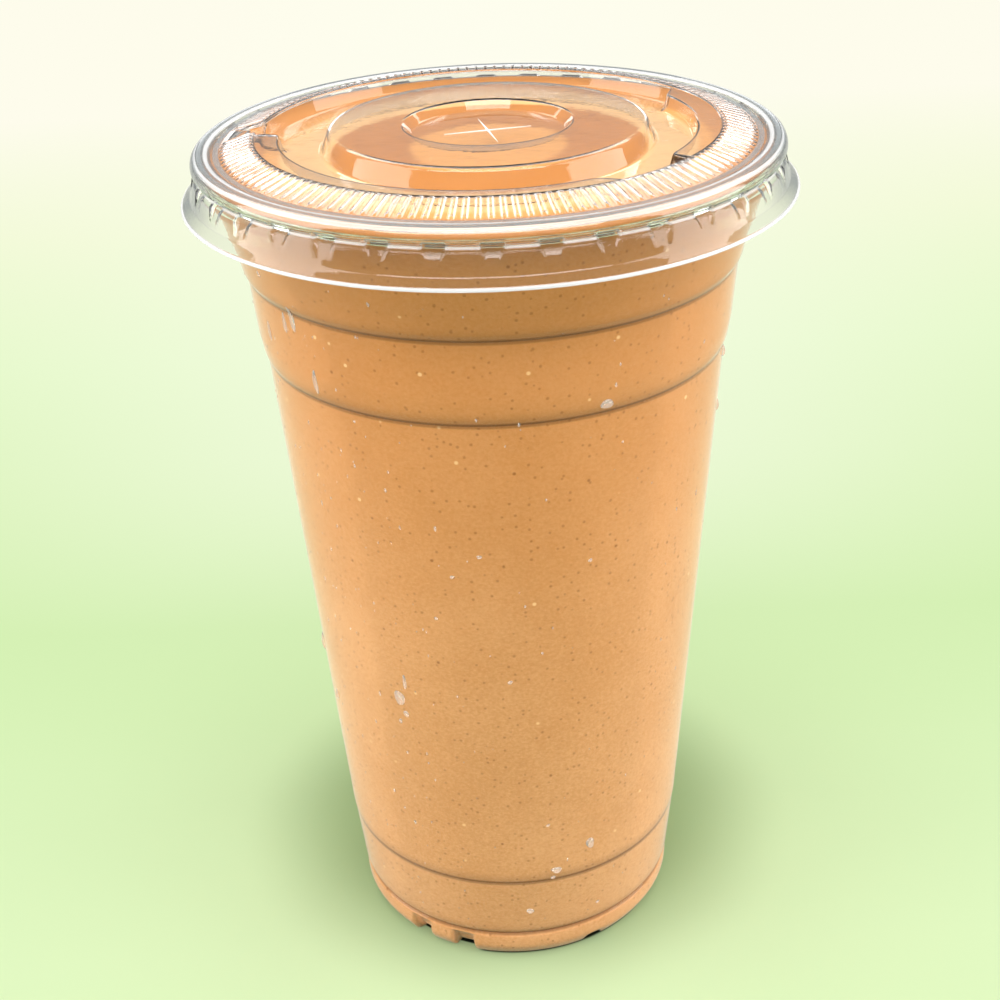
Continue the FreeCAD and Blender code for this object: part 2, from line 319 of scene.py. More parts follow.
def cupCorners():  # the cup's outer line as (radius, height, rounding), from its base to the rolled rim
    c = cupValues
    rollCentre = c["rimRadius"] - c["rollRadius"]
    rollHeight = c["height"] - c["rollRadius"]
    roll = c["rollRadius"] - c["wall"]
    rollRounding = roll - 0.01
    neck = rollCentre - roll
    footInner = c["footRadius"] - c["footRing"]
    footBulge = c["footRadius"] + c["footSwell"]
    lowerStart = footBulge + c["footStart"]
    lowerEnd = lowerStart + c["lowerTaper"] * (c["lowerCrease"] - c["footHeight"])
    neckStart = c["rimRadius"] - c["neckInset"]
    upperEnd = neckStart - c["topStep"]
    upperStart = upperEnd - c["upperTaper"] * (c["topCrease"] - c["upperCrease"] - c["shoulderLength"])
    middleEnd = upperStart - c["upperStep"] - c["upperTaper"] * c["shoulderLength"]
    corners = [
        (0, c["punt"], 0),
        (footInner - c["punt"] * 0.6, c["punt"], 1.5),
        (footInner, 0, 1.2),
        (c["footRadius"], 0, 2.2),
        (footBulge, c["footHeight"] * 0.45, 3.0),
        (footBulge, c["footHeight"] - 0.7, 0.5),
        (footBulge - c["footCrease"], c["footHeight"], c["creaseRounding"]),
        (lowerStart, c["footHeight"] + c["footShoulder"], 1.0),
    ]
    corners += shoulder(lowerEnd, c["lowerCrease"], lowerEnd + c["lowerStep"])
    corners += shoulder(middleEnd, c["upperCrease"], upperStart)
    corners += shoulder(upperEnd, c["topCrease"], neckStart)
    return corners + [
        (neck, rollHeight - c["neckStraight"], 4.0),
        (neck, rollHeight + roll, rollRounding),
        (rollCentre + roll, rollHeight + roll, rollRounding),
        (rollCentre + roll, rollHeight - roll, rollRounding),
        (rollCentre - roll * 0.3, rollHeight - roll, 0),
    ]


def turnsApart(azimuth, degrees):  # degrees from an azimuth, or from the one opposite, whichever is nearer
    gap = np.degrees(azimuth) - degrees
    return np.abs((gap + 90.0) % 180.0 - 90.0)


def footShape(radius, height, azimuth):
    # panels press the foot in by a smooth step of azimuth times a smooth step of height, and lift its edge;
    # the notch is an arch: its height falls with the square of the distance from its middle
    c = cupValues
    innerEdge = c["footRadius"] - c["footRing"]
    panel = sum(1 - smooth(turnsApart(azimuth, a), c["panelHalf"] - c["panelEdge"], c["panelHalf"])
                for a in c["panels"])
    below = 1 - smooth(height, c["panelTop"] - 0.6, c["panelTop"] + 0.4)
    outside = smooth(radius, innerEdge + 1.3, innerEdge + 3.3)
    radius = radius - c["panelDepth"] * panel * below * outside
    edge = (1 - smooth(height, 0.0, c["liftHeight"])) * smooth(radius, innerEdge + 0.8, innerEdge + 2.3)
    arch = np.clip(1 - (turnsApart(azimuth, c["notch"]) / c["notchHalf"]) ** 2, 0, None)
    height = height + edge * (c["panelLift"] * panel + c["notchHeight"] * arch)
    return radius, height, azimuth


def cupPlastic():  # clear, with a faint ripple, and hazy where the wall is seen edge on
    v = cupValues
    material, bench = newBench("cupPlastic")
    ripple = bench.noise(bench.place(), v["rippleScale"])
    plastic = bench.principled({
        "Base Color": v["tint"], "Roughness": v["roughness"], "IOR": v["bending"],
        "Transmission Weight": 1.0, "Normal": bench.bump(ripple, v["ripple"], v["rippleDepth"])})
    haze = bench.add("ShaderNodeBsdfDiffuse", {}, {"Color": v["haze"]})
    hazy = bench.band(bench.edgeOn(v["edgeBlend"]), *v["hazeFrom"]) * v["hazeShare"]
    bench.finishClear(bench.blend(hazy, plastic, haze), v["shadow"])
    return material


cupOuter = roundedLine(cupCorners())
cupInner = roundedLine(insetLine(cupCorners(), cupValues["wall"]))
cupLine = np.vstack([cupOuter[1:], cupInner[:0:-1]])
cupShell = turnedMesh("cupShell", [(cupLine, cupValues["columns"], footShape)],
                      cupOuter[0, 1], cupInner[0, 1])
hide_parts("cup")
givePaint(cupShell, cupPlastic())
print("cup made", len(cupShell.data.polygons))


shakeValues = {
    # millimetres, and counts of rows and columns
    "level": 153.65, "intoWall": 0.36, "longestRun": 6.0, "innerRadius": 1.5, "topRows": 34, "columns": 360,
    "wave": 0.15, "waveRadius": 45.0,
    # colours of the drink, and of what shows through the lid; four are painted shade: below the plateau,
    # towards the top, along the creases and in the notch, and the crease colour also paints the large speck
    "body": srgb(219, 164, 114), "deep": srgb(202, 144, 90), "under": srgb(182, 112, 42),
    "upperShade": srgb(192, 120, 52), "trough": srgb(242, 198, 138), "top": srgb(230, 162, 80),
    "edge": srgb(200, 132, 62), "crease": srgb(104, 56, 20), "speck": srgb(140, 84, 42),
    "fleck": srgb(246, 204, 150), "notchShade": srgb(44, 50, 40),
    # noises as scale, detail and roughness, how they mingle the body and the deep tone, the painted shade
    # that makes the drink darker and warmer towards the top, with its heights in metres, and the surface
    "clouds": (26.0, 4.0, 0.6), "grains": (1900.0, 3.0, 0.65), "stretch": (0.8, 0.8, 1),
    "mingle": (0.34, 0.66), "upperShadeFrom": (0.04, 0.15), "upperShadeShare": 0.6, "relief": 0.2,
    "reliefDepth": 0.0002, "roughness": 0.55, "shine": 0.15,
    # specks: cells in a metre, size, share of cells without one, colour and strength; and the soft edge of
    # each as shares of its size
    "specks": ((900.0, 0.22, 0.76, "speck", 0.45), (420.0, 0.11, 0.84, "speck", 0.7),
               (420.0, 0.13, 0.95, "fleck", 0.75)),
    "speckEdge": (1.5, 0.7),
    # metres: one large speck, and painted shade for the dark gap behind the arched notch, each from its edge
    # inwards
    "spotPlace": (-0.0043, -0.0442, 0.1299), "spotFrom": (0.0007, 0.0004), "spotShare": 0.7,
    "notchShadePlace": (0.0141, -0.0258, -0.0003), "notchShadeFrom": (0.0026, 0.0022),
    # metres: how far the painted dark line of a crease and the painted shade above it reach, and the share of
    # each
    "line": 0.0007, "lineShare": 0.5, "shade": 0.003, "shadeShare": 0.32,
    # metres: the top, and the rings of it that lie under the lid's trough, inside it, where painted shade
    # lies below the plateau, and near the rim
    "topFrom": (0.1531, 0.1534), "topShare": 0.8, "rimFrom": (0.0372, 0.0388),
    "plateauShadeRing": (0.0125, 0.0142, 0.0262, 0.0276), "plateauShadeShare": 0.85,
    "troughRing": (0.0262, 0.0276, 0.0345, 0.0362), "troughShare": 0.75,
}


def shakeLine():  # up the inside of the cup, a little into its wall, then flat inwards at the level
    v = shakeValues
    belowRoll = insetLine(cupCorners(), cupValues["wall"] - v["intoWall"])[:-3]  # without the rolled rim
    wall = roundedLine(belowRoll, longestRun=v["longestRun"])
    wall = wall[wall[:, 1] < v["level"]]
    inwards = np.linspace(wall[-1, 0], v["innerRadius"], v["topRows"])
    return np.vstack([wall, np.column_stack([inwards, np.full(v["topRows"], v["level"])])])


def shakeShape(radius, height, azimuth):
    # the top is a little uneven: its height falls by wave * (1 + ripple), where the ripple is
    # sin(3 * azimuth + 0.2 * radius) * cos(2 * azimuth + 0.33 * radius)
    v = shakeValues
    radius, height, azimuth = footShape(radius, height, azimuth)
    onTop = (height > v["level"] - 0.01) & (radius < v["waveRadius"])
    ripple = np.sin(3 * azimuth + radius * 0.2) * np.cos(radius * 0.33 + 2 * azimuth)
    return radius, height - onTop * v["wave"] * (1 + ripple), azimuth


def paintedCreaseShade(bench, colour, height):  # painted shade: darker along each crease of the cup, fading out above it
    v = shakeValues
    for crease in ("footHeight", "lowerCrease", "upperCrease", "topCrease"):
        level = cupValues[crease] * mm
        line = bench.band(bench.size(height - level), v["line"], v["line"] * 0.35)
        above = (height > level) * bench.band(height, level + v["shade"], level)
        colour = bench.mix(above * v["shadeShare"] + line * v["lineShare"], colour, v["crease"])
    return colour


def topTone(bench, colour, place, height):  # through the lid: pale where the trough lies on it, with painted shade deep inside below the plateau
    v = shakeValues
    radius = bench.distance(bench.vector("MULTIPLY", place, (1, 1, 0)))
    onTop = bench.band(height, *v["topFrom"])
    outer = bench.mix(bench.band(radius, *v["rimFrom"]), v["top"], v["edge"])
    colour = bench.mix(onTop * v["topShare"], colour, outer)
    # painted shade below the lid's plateau
    colour = bench.mix(onTop * bench.ring(radius, *v["plateauShadeRing"]) * v["plateauShadeShare"], colour, v["under"])
    return bench.mix(onTop * bench.ring(radius, *v["troughRing"]) * v["troughShare"], colour, v["trough"])


def speckTone(bench, colour, place):  # round spots at random in their cells, then the one large speck
    v = shakeValues
    for scale, size, without, paint, strength in v["specks"]:
        spots = bench.add("ShaderNodeTexVoronoi", {"feature": "F1"}, {"Vector": place, "Scale": scale})
        picked = bench.add("ShaderNodeSeparateColor", {}, {0: bench.part(spots, 1)}) > without
        shown = bench.band(spots, *(size * share for share in v["speckEdge"])) * picked
        colour = bench.mix(shown * strength, colour, v[paint])
    spot = bench.band(bench.distance(place, v["spotPlace"]), *v["spotFrom"])
    return bench.mix(spot * v["spotShare"], colour, v["crease"])


def shakePaint():
    # clouds and grain mingle two tones; painted shade towards the top, specks, painted shade at the creases,
    # the top with painted shade below the plateau, and painted shade in the notch lie over them
    v = shakeValues
    material, bench = newBench("shakePaint")
    place = bench.place()
    _, _, height = bench.axes(place)
    grain = bench.noise(bench.vector("MULTIPLY", place, v["stretch"]), *v["grains"])
    tone = bench.band(bench.noise(place, *v["clouds"]) * 0.5 + grain * 0.5, *v["mingle"])
    colour = bench.mix(tone, v["deep"], v["body"])
    # painted shade: darker and warmer towards the top, where the lid holds back light
    colour = bench.mix(bench.band(height, *v["upperShadeFrom"]) * v["upperShadeShare"], colour, v["upperShade"])
    # painted shade along the creases
    colour = paintedCreaseShade(bench, speckTone(bench, colour, place), height)
    colour = topTone(bench, colour, place, height)
    # painted shade: a dark spot in the notch, where the shaded gap below the foot shows
    notchShade = bench.band(bench.distance(place, v["notchShadePlace"]), *v["notchShadeFrom"])
    bench.finish(bench.principled({
        "Base Color": bench.mix(notchShade, colour, v["notchShade"]), "Roughness": v["roughness"],
        "Specular IOR Level": v["shine"], "Normal": bench.bump(grain, v["relief"], v["reliefDepth"])}))
    return material


shakeBody = turnedMesh("shakeBody", [(shakeLine()[1:], shakeValues["columns"], shakeShape)],
                       shakeLine()[0, 1], shakeValues["level"] - shakeValues["wave"])
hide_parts("shake")
givePaint(shakeBody, shakePaint())
print("shake made", len(shakeBody.data.polygons))


lidValues = {
    # millimetres, and counts of columns
    "sheet": 0.35, "clearance": 0.35, "flangeWidth": 2.3, "skirtDepth": 6.85, "neckDrop": 1.25,
    "neckPinch": 0.95, "ledge": 0.1, "skirtFlare": 0.6, "deckRise": 2.2, "valleyDrop": 0.3,
    "valleyWidth": 1.5, "ribbedWidth": 5.9, "shelfWidth": 4.0, "shelfDrop": 0.35, "troughWidth": 8.4,
    "troughDepth": 3.2, "plateauRise": 0.45, "recess": 14.4, "recessDepth": 1.6, "batter": 1.5,
    "topColumns": 288, "ribColumns": 1152, "skirtColumns": 576,
    # marks: counts, millimetres, and degrees from the front
    "ribs": 144, "ribHeight": 0.3, "barsFrom": (0.25, 0.7), "barsTo": (0.75, 0.2), "lugs": 36,
    "lugTopHalf": 1.8, "lugBottomHalf": 1.0, "lugHeight": 2.3, "lugTopSlope": 1.2, "lugReach": 1.0,
    "lugSide": 0.14, "lugRadius": 50.0, "pocket": -95.5, "pocketHalf": 4.5, "pocketDrop": 1.9,
    "pocketReach": 2.2, "shelves": ((-90.0, 33.0), (54.5, 122.0)), "shelfSquare": 0.7, "shelfTaper": 9.0,
    # the plastic: its tint seen face on and a painted dark reflection as its tint seen edge on, how it bends
    # light, and its faint ripple
    "tint": (0.98, 0.98, 0.97, 1), "edgeReflectionTint": (0.12, 0.135, 0.14, 1), "edgeFrom": (0.4, 0.75),
    "edgeBlend": 0.35, "bending": 1.42, "roughness": 0.02, "rippleScale": 170.0, "ripple": 0.12,
    "rippleDepth": 0.0005, "shadow": (0.76, 0.75, 0.73, 1),
    # painted highlights, as shares of a white finish; metres for places
    "white": (0.93, 0.93, 0.93, 1), "whiteRoughness": 0.25, "flank": (0.3, 0.45, 0.6, 0.75),
    "whiteFrom": (0.0003, 0.0008), "whiteTo": (0.0002, 0.0008), "ribHighlight": 0.36, "lessAtSides": 0.3,
    "whiteEdge": 0.00045, "flangeHighlight": 0.75, "ledgeHighlight": 0.4,
    "ledgeRing": (0.1526, 0.1528, 0.153, 0.1532),
    "ledgeRadius": 0.0487, "offLugs": (0.5, 0.62), "crownHighlight": 0.45, "crownHeight": 0.1552,
    "crownRings": ((0.0469, 0.0471, 0.0475, 0.0478), (0.0489, 0.049, 0.0492, 0.0494)),
    # painted dark reflections, as shares of a grey finish; metres for places
    "grey": (0.24, 0.265, 0.27, 1), "greyRoughness": 0.2, "rimFrom": (0.0463, 0.0466),
    "greyFrom": (0.42, 0.75), "rimReflection": 0.6, "crownReflection": 0.35, "greyRing": (0.048, 0.0481, 0.0487, 0.0488),
    "valleyReflection": 0.45, "pastRibs": (-0.0001, 0.0002, 0.0009, 0.0012),
}


def lidRadii():  # the radii that the lid's outline, ribs and paint share, in millimetres
    s, c = lidValues, cupValues
    rollCentre = c["rimRadius"] - c["rollRadius"]
    bead = c["rollRadius"] + s["clearance"] + s["sheet"]
    ribOuter = rollCentre - bead - s["valleyWidth"]
    ribInner = ribOuter - s["ribbedWidth"]
    shelf = ribInner - s["shelfWidth"]
    return {"rollCentre": rollCentre, "bead": bead, "right": rollCentre + bead, "ribOuter": ribOuter,
            "ribInner": ribInner, "shelf": shelf, "plateau": shelf - s["troughWidth"],
            "flange": rollCentre + bead + s["flangeWidth"]}


def lidCorners():  # the lid's top as (radius, height, rounding), from its middle to the flange's edge
    s, r = lidValues, lidRadii()
    rollHeight = cupValues["height"] - cupValues["rollRadius"]
    deck = cupValues["height"] + s["deckRise"]
    plateau = deck + s["plateauRise"]
    trough = deck - s["troughDepth"]
    skirtLow = rollHeight - s["skirtDepth"]
    bead, right = r["bead"], r["right"]
    beadTop = rollHeight + bead
    neck = rollHeight - s["neckDrop"]
    return [
        (0, plateau - s["recessDepth"], 0),
        (s["recess"] - s["batter"], plateau - s["recessDepth"], 0.7),
        (s["recess"], plateau, 0.6),
        (r["plateau"], plateau, 1.2),
        (r["plateau"] + s["batter"], trough, 0.8),
        (r["shelf"] - s["batter"] * 0.5, trough, 0.8),
        (r["shelf"], deck - s["shelfDrop"], 0.5),
        (r["ribInner"] - 0.3, deck - s["shelfDrop"], 0.2),
        (r["ribInner"], deck, 0.2),
        (r["ribOuter"], beadTop - s["valleyDrop"], 0.5),
        (r["rollCentre"] - bead, beadTop - s["valleyDrop"], 0.8),
        (r["rollCentre"] - bead * 0.6, beadTop, 0.8),
        (right, beadTop, bead - 0.01),
        (right, rollHeight - 0.5, 0.7),
        (right - s["neckPinch"], neck, 0.25),
        (right - s["ledge"], neck - s["neckPinch"] + s["ledge"], 0.3),
        (right + s["skirtFlare"], skirtLow + 1.6, 0.8),
        (r["flange"], skirtLow, 0),
    ]


def around(azimuth, degrees):  # degrees past an azimuth, from -180 to 180
    return (np.degrees(azimuth) - degrees + 180.0) % 360.0 - 180.0


def shelfPresence(azimuth):
    # 1 where a shelf runs inside the ribbed ring; its first end is a steep step, its last falls smoothly
    s = lidValues
    shelves = 0
    for start, end in s["shelves"]:
        turn = around(azimuth, start)
        length = end - start
        begun = smooth(turn, -s["shelfSquare"], s["shelfSquare"])
        shelves = shelves + begun * (1 - smooth(turn, length - s["shelfTaper"], length) ** 2)
    return shelves


def deckShape(radius, height, azimuth):
    # the shelf's inner wall slides outwards where there is no shelf, ribs are bars with sloped sides round
    # the ribbed ring, and the pocket is a window of it sunk to one depth
    s, r = lidValues, lidRadii()
    deck = cupValues["height"] + s["deckRise"]
    shelf, ribInner, ribOuter = r["shelf"], r["ribInner"], r["ribOuter"]
    slide = (1 - shelfPresence(azimuth)) * (s["shelfWidth"] - 0.45)
    fixed = [r["plateau"] + s["batter"] + 0.8, shelf - 1.6, shelf + 0.4, ribInner - 0.1]
    radius = radius + slide * np.interp(radius, fixed, [0, 1, 1, 0])
    fromPocket = np.abs(around(azimuth, s["pocket"]))
    ribbed = smooth(radius, *(ribInner + d for d in s["barsFrom"])) * (
        1 - smooth(radius, *(ribOuter - d for d in s["barsTo"])))
    phase = np.abs((s["ribs"] * np.degrees(azimuth) + 180.0) % 360.0 - 180.0)
    bars = np.clip(2.0 - phase / 45.0, 0, 1)  # a quarter of each turn is flat on top, half is flat below
    bars = bars * (fromPocket > s["pocketHalf"] + 1.0)
    height = height + s["ribHeight"] * ribbed * bars
    pocketEnd = ribInner + s["pocketReach"]
    acrossPocket = smooth(radius, shelf, shelf + 1.0) * (1 - smooth(radius, pocketEnd - 0.1, pocketEnd + 0.3))
    inPocket = (1 - smooth(fromPocket, s["pocketHalf"] - 0.3, s["pocketHalf"] + 0.2)) * acrossPocket
    above = np.clip(height - (deck - s["pocketDrop"]) + s["sheet"] * (height < deck - 0.3), 0, None)
    return radius, height - inPocket * above * (radius > ribInner - 0.8)


def lidShape(radius, height, azimuth):
    # each lug is a wedge pressed in at the neck: deepest under the rolled rim, fading out in straight lines
    # above and below; the columns of the grid gather at its two sides
    s = lidValues
    radius, height = deckShape(radius, height, azimuth)
    deepest = cupValues["height"] - 2 * cupValues["rollRadius"] - s["clearance"]
    below = np.clip((deepest - height) / s["lugHeight"], 0, 1)
    over = np.clip((height - deepest) / s["lugTopSlope"], 0, 1)
    step = 360.0 / s["lugs"]
    turn = (np.degrees(azimuth) + step / 2) % step - step / 2
    half = np.degrees((s["lugTopHalf"] + (s["lugBottomHalf"] - s["lugTopHalf"]) * below) / s["lugRadius"])
    side = s["lugSide"]
    columns = np.array([0, 1, 2, 3, 4, 8]) * 360.0 / s["skirtColumns"]
    places = [0 * half, half * 0.35, half * 0.72, half - side, half + side, step / 2 + 0 * half]
    moved = 0 * half
    for i in range(len(columns) - 1):
        share = np.clip((np.abs(turn) - columns[i]) / (columns[i + 1] - columns[i]), 0, 1)
        moved = moved + share * (places[i + 1] - places[i])
    onSkirt = (radius > s["lugRadius"] - 1.0) & (height < deepest + s["lugTopSlope"] + 0.3)
    pressed = np.clip((half + side - moved) / (2 * side), 0, 1) * (1 - below) * (1 - over)
    azimuth = np.where(onSkirt, azimuth + np.radians(np.sign(turn) * moved - turn), azimuth)
    return radius - onSkirt * s["lugReach"] * pressed, height, azimuth


def lidBands():
    # underside outwards, round the flange's edge, then the top inwards; the ribbed ring has more columns
    # than the rest, so each side of the sheet is cut into middle, ribs and skirt near the ring's two edges
    def parts(corners):
        inner, outer = corners[8][:2], corners[9][:2]  # the ribbed ring's two edges
        ribStart = inner * 0.97 + outer * 0.03
        ribEnd = inner * 0.06 + outer * 0.94
        middle = roundedLine(np.vstack([corners[:9], [[*ribStart, 0]]]), stepDegrees=16, longestRun=3.0)[:-1]
        steps = np.array([0.0, 0.06, 0.12, 0.33, 0.39, 0.87, 0.93, 1.0])[:, None]  # close at the bars' ends
        skirt = roundedLine(np.vstack([[[*ribEnd, 0]], corners[9:]]), longestRun=0.75)[1:]
        return middle, ribStart + (ribEnd - ribStart) * steps, skirt

    s = lidValues
    counts = s["topColumns"], s["ribColumns"], s["skirtColumns"]
    top = parts(np.array(lidCorners()))
    under = parts(insetLine(lidCorners(), -s["sheet"]))
    lines = [under[0][1:], under[1], under[2], top[2][::-1], top[1][::-1], top[0][:0:-1]]
    bands = [(line, count, lidShape) for line, count in zip(lines, counts + counts[::-1])]
    return bands, under[0][0, 1], top[0][0, 1]


def paintedHighlightShare(bench, radius, height, sideways, turn):
    # painted highlights on the ribs' sides, less so at the lid's left and right, and on the flange's edge,
    # the bead's crown and the ledge between lugs
    v, r = lidValues, lidRadii()
    phase = bench.size(bench.math("SINE", turn * (v["ribs"] / 2)))  # 0 on a rib, 1 between two
    onRibs = bench.band(radius, *(r["ribInner"] * mm + d for d in v["whiteFrom"])) * bench.band(
        radius, *(r["ribOuter"] * mm - d for d in v["whiteTo"]))
    ribs = bench.ring(phase, *v["flank"]) * onRibs * (v["ribHighlight"] - sideways * v["lessAtSides"])
    flange = r["flange"] * mm - v["whiteEdge"]
    crowns = bench.ring(radius, *v["crownRings"][0]) + bench.ring(radius, *v["crownRings"][1])
    offLugs = bench.band(bench.size(bench.math("SINE", turn * (v["lugs"] / 2))), *v["offLugs"])
    ledge = bench.ring(height, *v["ledgeRing"]) * (radius > v["ledgeRadius"]) * offLugs
    return (ribs + bench.band(radius, flange, flange + 0.0002) * v["flangeHighlight"]
            + crowns * (height > v["crownHeight"]) * v["crownHighlight"] + ledge * v["ledgeHighlight"])


def paintedReflectionShare(bench, radius, height, edgeOn, onRim):  # painted dark reflections on the rim seen edge on, in the valley and on the bead's crown
    v, ribOuter = lidValues, lidRadii()["ribOuter"] * mm
    valley = bench.ring(radius, *(ribOuter + d for d in v["pastRibs"]))
    crown = bench.ring(radius, *v["greyRing"]) * (height > v["crownHeight"])
    return (bench.band(edgeOn, *v["greyFrom"]) * onRim * v["rimReflection"] + valley * v["valleyReflection"]
            + crown * v["crownReflection"])


def lidPlastic():  # clear, with painted dark reflection where the rim is seen edge on, under a share of grey for painted dark reflections and one of white for painted highlights
    v = lidValues
    material, bench = newBench("lidPlastic")
    place = bench.place()
    across, back, height = bench.axes(place)
    radius = bench.math("SQRT", across * across + back * back)
    turn = bench.math("ARCTAN2", across, 0.0 - back)
    edgeOn = bench.edgeOn(v["edgeBlend"])
    onRim = bench.band(radius, *v["rimFrom"])
    # where the rim is seen edge on, the base colour darkens: a painted dark reflection
    plastic = bench.principled({
        "Base Color": bench.mix(bench.band(edgeOn, *v["edgeFrom"]) * onRim, v["tint"], v["edgeReflectionTint"]),
        "Roughness": v["roughness"], "IOR": v["bending"], "Transmission Weight": 1.0,
        "Normal": bench.bump(bench.noise(place, v["rippleScale"], 3.0), v["ripple"], v["rippleDepth"])})
    grey = bench.principled({"Base Color": v["grey"], "Roughness": v["greyRoughness"]})
    white = bench.principled({"Base Color": v["white"], "Roughness": v["whiteRoughness"]})
    sideways = bench.size(bench.math("SINE", turn))
    # painted dark reflections as a share of grey, then painted highlights as a share of white
    plastic = bench.blend(paintedReflectionShare(bench, radius, height, edgeOn, onRim), plastic, grey)
    plastic = bench.blend(paintedHighlightShare(bench, radius, height, sideways, turn), plastic, white)
    bench.finishClear(plastic, v["shadow"])
    return material


bands, poleUnder, poleTop = lidBands()
lidShell = turnedMesh("lidShell", bands, poleUnder, poleTop)
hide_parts("lid")
givePaint(lidShell, lidPlastic())
print("lid made", len(lidShell.data.polygons))


slitValues = {  # millimetres and degrees, and the two tones of the stretched plastic
    "length": 15.0, "width": 0.35, "above": 0.03, "turn": 11.0,
    "dim": (0.86, 0.85, 0.83, 1), "milky": (0.97, 0.97, 0.96, 1), "mottle": 900.0, "roughness": 0.35,
}


def strawSlit():
    # four thin wedges, one for each quarter turn, as wide as the slit in the middle and pointed at the end:
    # eight corners taken round, once at the underside of the recess and once just above it
    v = slitValues
    long, wide = v["length"] / 2, v["width"] / 2
    arm = np.array([(wide, -long), (wide, -wide)])
    quarter = np.radians(90.0 * np.arange(4) + v["turn"])
    cosine, sine = np.cos(quarter), np.sin(quarter)
    turns = np.stack([cosine, -sine, sine, cosine], 1).reshape(4, 2, 2)
    outline = np.vstack([arm @ turn.T for turn in turns])
    count = len(outline)
    top = lidCorners()[0][1]
    low = np.column_stack([outline, np.full(count, top - lidValues["sheet"])])
    high = np.column_stack([outline, np.full(count, top + v["above"])])
    index = np.arange(count)
    ahead = np.roll(index, -1)
    walls = np.stack([index, ahead, ahead + count, index + count], 1).tolist()
    return np.vstack([low, high]) * mm, walls + [index[::-1].tolist(), (index + count).tolist()]


def slitPaint():  # milky, where the plastic is stretched
    material, bench = newBench("slitPaint")
    v = slitValues
    milky = bench.mix(bench.noise(bench.place(), v["mottle"]), v["dim"], v["milky"])
    bench.finish(bench.principled({"Base Color": milky, "Roughness": v["roughness"]}))
    return material


strawCross = meshObject("strawCross", *strawSlit(), rounded=False)
givePaint(strawCross, slitPaint())
print("slit made", len(strawCross.data.polygons))


dropValues = {  # millimetres; the large drops are degrees from the front, height, width and length of each
    "large": (
        (-33.2, 62.5, 2.5, 2.9), (-31.6, 59.2, 1.2, 1.3), (-34.0, 57.0, 0.8, 1.0), (-30.8, 66.5, 0.9, 3.0),
        (24.6, 27.8, 1.8, 2.6), (12.9, 23.1, 2.2, 1.4), (11.8, 21.3, 1.0, 0.8), (3.9, 12.9, 1.6, 1.2),
        (24.6, 122.1, 2.6, 1.6), (76.6, 118.4, 1.8, 2.4), (80.0, 107.0, 1.4, 2.2), (-80.0, 60.0, 1.6, 4.2),
        (-69.2, 51.7, 1.3, 2.2), (-49.8, 134.7, 1.3, 4.6), (-53.3, 133.2, 1.1, 3.6), (-62.8, 129.5, 1.0, 3.4),
        (-45.3, 124.3, 1.2, 4.2), (0.1, 69.2, 0.9, 0.8), (-6.3, 95.6, 0.9, 0.8), (-13.5, 91.3, 0.8, 0.7),
        (-18.8, 82.3, 0.7, 0.7), (10.2, 34.8, 0.7, 0.7), (28.8, 10.9, 0.7, 0.8), (21.8, 92.6, 0.8, 0.7),
        (-58.0, 141.0, 0.9, 1.2), (150.0, 70.0, 2.2, 3.0), (-140.0, 44.0, 1.9, 2.4), (118.0, 96.0, 1.5, 3.6),
        (-112.0, 118.0, 1.3, 2.8), (165.0, 24.0, 1.8, 1.5),
    ),
    # the small drops: how many, their heights and widths, and the degrees round which most of them gather
    "small": 420, "smallFrom": (9.0, 146.0), "smallest": 0.2, "spread": 0.34, "longer": (0.8, 2.6),
    "gathered": 0.55, "gatherAt": -58, "gatherSpread": 22,
    # the shape of each: share of the width that it stands out, how far it sags, how deep it lies in the wall
    "rise": 0.3, "widestRise": 2.0, "power": 0.8, "sag": 0.12, "sunk": 0.03, "within": (6.0, 150.0),
    "waves": (0.1, 0.07), "rings": 5, "spokes": 12,
    # the water
    "film": (0.93, 0.85, 0.74, 1), "bright": (1.0, 0.96, 0.9, 1), "mottle": 300.0, "bending": 1.2,
    "clearness": 0.8, "roughness": 0.03, "shadow": (0.9, 0.9, 0.9, 1),
}


def dropTable():  # the large drops, then the small ones at random, each as degrees, height, width and length
    v = dropValues
    count = v["small"]
    width = v["smallest"] + v["spread"] * rng.random(count) ** 3
    gathered = rng.random(count) < v["gathered"]
    near = rng.normal(v["gatherAt"], v["gatherSpread"], count)
    side = np.where(gathered, near, rng.uniform(-180, 180, count))
    height = rng.uniform(*v["smallFrom"], count)
    small = np.column_stack([side, height, width, width * rng.uniform(*v["longer"], count)])
    return np.vstack([np.array(v["large"]), small])


